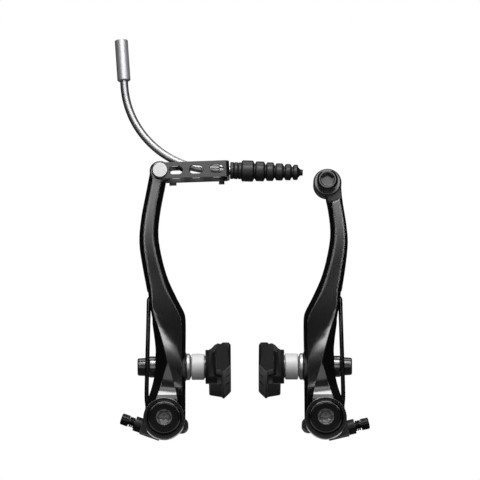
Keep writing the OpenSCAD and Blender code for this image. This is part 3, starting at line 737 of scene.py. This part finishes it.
class BRAKE_OT_boot(bpy.types.Operator):
    """Mould the ribbed rubber boot over the cable"""
    bl_idname = "brake.boot"
    bl_label = "Cable boot"

    def execute(self, context):
        rubber = sprayed("boot_rubber", colours().boot, 0.42, 0.0003, 0.3, spread=0.12)
        boot = lathe("cable_boot_finish", [(r * MM, z * MM) for r, z in self.outline()],
                     sizes().boot_sides)
        bend = sizes().bend / MM
        tip = Vector((GUIDE_X - bend * math.sin(GUIDE_DIP), MIDDLE_Y,
                      GUIDE_Z - bend * math.cos(GUIDE_DIP)))
        along = Vector((math.cos(GUIDE_DIP), 0, -math.sin(GUIDE_DIP)))
        turn = Matrix.Rotation(math.pi / 2 + GUIDE_DIP, 4, "Y")
        settle(boot, Matrix.Translation((tip + along * 7.65) * MM) @ turn)
        smooth_by_angle(boot, 58)
        attach(boot, "cable_boot", rubber)
        return {"FINISHED"}

    def outline(self):
        """The boot's wall as (radius, height): a grooved neck, six ribs, the tip and the bore."""
        neck, first, gap = 3.94, 5.1, 0.6
        ribs = ((4.92, 5.8), (4.62, 4.4), (4.35, 3.7), (4.0, 3.7), (3.8, 3.1), (3.58, 2.6))
        outline = [(1.95, 0), (neck - 0.35, 0), (neck - 0.08, 0.12), (neck, 0.4), (neck, 1.4)]
        for groove, end in ((1.8, 3.3), (3.7, 4.8)):
            outline += [(neck - 0.12, groove - 0.2), (neck - 0.4, groove),
                        (neck - 0.12, groove + 0.2), (neck, groove + 0.4), (neck, end)]
        start = first
        for r, long in ribs:
            end = start + long
            outline += [(r - 1.1, start - 0.25), (r - 1.1, start + 0.02), (r - 0.45, start + 0.28),
                        (r - 0.1, start + 0.52), (r, start + 0.95), (r, end - 0.75),
                        (r - 0.06, end - 0.4), (r - 0.3, end - 0.14), (r - 0.7, end)]
            start = end + gap
        last = start - gap
        outline += [(2.35, last + 0.1), (1.7, last + 0.8), (1.45, last + 1.15), (1.43, last + 2.0),
                    (1.3, last + 2.2), (0.92, last + 2.2), (0.92, last - 2.0), (2.2, last - 2.0),
                    (2.2, 5.0), (1.92, 5.0)]
        return outline


class BRAKE_OT_clamp(bpy.types.Operator):
    """Finish the cable bolt and its washer"""
    bl_idname = "brake.clamp"
    bl_label = "Cable clamp"

    def execute(self, context):
        axis = side_point("right", *CLAMP)
        black = turned("clamp_black", colours().bolt, 0.25, axis, ACROSS_Y, 0.0004, 0.08,
                       metallic=0.0, level=1.0)
        steel = turned("clamp_washer_steel", colours().clamp_washer, 0.22, axis, ACROSS_Y,
                       0.0005, 0.05)
        finish_node("cable_bolt", black, sizes().edge)
        finish_node("cable_washer", steel, sizes().edge)
        return {"FINISHED"}


FORWARD, DOWN = (0.0, 1.0, 0.0), (0.0, 0.0, -1.0)
BOX_Y = -0.30
# Soft boxes close in front of the brake and one above it: name, centre, the way it faces, width
# and height, radiance
SOFT_BOXES = (("front", (0.037, BOX_Y, 0.176), FORWARD, (0.23, 0.048), 2.5),
              ("middle", (0.037, BOX_Y, 0.245), FORWARD, (0.30, 0.09), 1.3),
              ("high", (0.037, BOX_Y, 0.365), FORWARD, (0.32, 0.13), 12.0),
              ("top", (0.037, -0.02, 0.60), DOWN, (0.4, 0.3), 2.5),
              ("strip_left", (-0.096, BOX_Y, 0.178), FORWARD, (0.04, 0.124), 8.0),
              ("strip_right", (0.17, BOX_Y, 0.178), FORWARD, (0.04, 0.124), 8.0),
              ("low", (0.037, BOX_Y, -0.025), FORWARD, (0.5, 0.11), 1.0),
              ("gap", (0.037, BOX_Y, 0.09), FORWARD, (0.4, 0.12), 0.06))


class BRAKE_OT_stage(bpy.types.Operator):
    """Set the floor, the lights, the sky and the camera"""
    bl_idname = "brake.stage"
    bl_label = "Stage"

    def execute(self, context):
        context.scene.view_settings.view_transform = "Standard"
        self.floor()
        self.sky(context.scene)
        for box in SOFT_BOXES:
            lamp(*box)
        self.camera(context.scene)
        return {"FINISHED"}

    def floor(self):
        bpy.ops.object.select_all(action="DESELECT")
        bpy.ops.mesh.primitive_plane_add(size=8.0, location=(0.035, 0, -0.66))
        floor = bpy.context.object
        floor.name = "floor"
        paper = Finish("floor_paper", Metallic=0.0)
        grain = paper.noise(paper.place(FLOOR_PATCHES))
        paper.set(Base_Color=paper.tint(grain, (0.80, 0.80, 0.80), (0.84, 0.84, 0.84)),
                  Roughness=0.75 + grain * 0.1)
        paper.show_white(0.97)
        floor.data.materials.append(paper.material)

    def sky(self, scene):
        """White for the camera. A reflection shows the white backdrop and a dim room in front."""
        world = scene.world or bpy.data.worlds.new("Studio")
        scene.world = world
        world.use_nodes = True
        world.node_tree.nodes.clear()
        sky = Tree(world.node_tree)
        camera, glossy, through = (sky.add("ShaderNodeLightPath", {}, {}, "Is %s Ray" % kind)
                                   for kind in ("Camera", "Glossy", "Transmission"))
        direction = sky.add("ShaderNodeTexCoord", {}, {}, "Generated")
        backward = sky.add("ShaderNodeSeparateXYZ", {}, {0: direction}, "Y")
        backdrop = sky.add("ShaderNodeMapRange", {"interpolation_type": "SMOOTHSTEP"},
                           {"Value": backward, "From Min": 0.94, "From Max": 0.995,
                            "To Min": 0.012, "To Max": 1.0}, "Result")
        fill = sky.add("ShaderNodeBackground", {}, {"Color": WHITE, "Strength": 0.04})
        white = sky.add("ShaderNodeBackground", {}, {"Color": WHITE,
                                                     "Strength": camera.larger(backdrop)})
        mix = sky.add("ShaderNodeMixShader", {}, {0: camera.larger(glossy).larger(through),
                                                  1: fill, 2: white})
        out = world.node_tree.nodes.new("ShaderNodeOutputWorld")
        world.node_tree.links.new(mix.socket, out.inputs["Surface"])

    def camera(self, scene):
        """A long lens that looks up at the brake by rise, and is rolled a little."""
        aim = Vector((35.0, -13.0, 84.4)) * MM
        rise, roll, distance = math.radians(12), math.radians(-0.2), 3.0
        back = Vector((0.0, -math.cos(rise), -math.sin(rise)))
        data = bpy.data.cameras.new("camera")
        data.lens = 488.2
        data.sensor_width = 36.0
        data.clip_start = 0.01
        camera = bpy.data.objects.new("camera", data)
        scene.collection.objects.link(camera)
        turn = back.to_track_quat("Z", "Y").to_matrix().to_4x4()
        camera.matrix_world = (Matrix.Translation(aim + back * distance) @ turn
                               @ Matrix.Rotation(roll, 4, "Z"))
        scene.camera = camera


def lamp(name, centre, faces, size, radiance):
    """A soft box that the camera doesn't see."""
    data = bpy.data.lights.new(name, "AREA")
    data.shape = "RECTANGLE"
    data.size, data.size_y = size
    data.energy = radiance * math.pi * size[0] * size[1]
    light = bpy.data.objects.new(name, data)
    bpy.context.scene.collection.objects.link(light)
    light.visible_camera = False
    light.location = centre
    light.rotation_euler = (-Vector(faces)).to_track_quat("Z", "Y").to_euler()


def smooth_path(points, steps):
    """Points of a smooth curve through the given ones."""
    out = []
    for i in range(len(points) - 1):
        p0 = Vector(points[max(i - 1, 0)])
        p1 = Vector(points[i])
        p2 = Vector(points[i + 1])
        p3 = Vector(points[min(i + 2, len(points) - 1)])
        for k in range(1, steps + 1):
            t = k / steps
            out.append(tuple(0.5 * (2 * p1 + (p2 - p0) * t
                                    + (2 * p0 - 5 * p1 + 4 * p2 - p3) * t * t
                                    + (3 * p1 - p0 - 3 * p2 + p3) * t * t * t)))
    return out


def guide_path():
    """The guide's middle line, from its nose round the bend into the ferrule."""
    bend, steps, nose, ferrule = sizes().bend / MM, 64, 5.0, 9.4
    low, high = math.radians(270) - GUIDE_DIP, math.radians(180) + GUIDE_LEAN
    points = []
    for i in range(steps + 1):
        a = low + (high - low) * i / steps
        points.append((GUIDE_X + bend * math.cos(a), GUIDE_Z + bend * math.sin(a)))
    first, last = points[0], points[-1]
    points.insert(0, (first[0] + nose * math.cos(GUIDE_DIP), first[1] - nose * math.sin(GUIDE_DIP)))
    points.append((last[0] - ferrule * math.sin(GUIDE_LEAN),
                   last[1] + ferrule * math.cos(GUIDE_LEAN)))
    return [(x * MM, MIDDLE_Y * MM, z * MM) for x, z in points]


class BRAKE_PT_panel(bpy.types.Panel):
    """Lists the steps that finish the brake"""
    bl_label = "Rim brake"
    bl_idname = "BRAKE_PT_panel"
    bl_space_type = "VIEW_3D"
    bl_region_type = "UI"
    bl_category = "Rim brake"

    def draw(self, context):
        for step in STEPS:
            self.layout.operator(step.bl_idname)
        for group in (context.scene.brake_sizes, context.scene.brake_colours):
            for name in group.__annotations__:
                self.layout.prop(group, name)


STEPS = (BRAKE_OT_stage, BRAKE_OT_arms, BRAKE_OT_pivots, BRAKE_OT_holders, BRAKE_OT_adjusters,
         BRAKE_OT_return_springs, BRAKE_OT_shoes, BRAKE_OT_link, BRAKE_OT_guide, BRAKE_OT_boot,
         BRAKE_OT_clamp)
CLASSES = (BrakeSizes, BrakeColours) + STEPS + (BRAKE_PT_panel,)


def register():
    for cls in CLASSES:
        bpy.utils.register_class(cls)
    bpy.types.Scene.brake_sizes = PointerProperty(type=BrakeSizes)
    bpy.types.Scene.brake_colours = PointerProperty(type=BrakeColours)


def unregister():
    del bpy.types.Scene.brake_colours
    del bpy.types.Scene.brake_sizes
    for cls in reversed(CLASSES):
        bpy.utils.unregister_class(cls)


def main():
    register()
    for step in STEPS:
        group, name = step.bl_idname.split(".")
        getattr(getattr(bpy.ops, group), name)()
    bpy.context.view_layer.update()


if __name__ == "__main__":
    main()
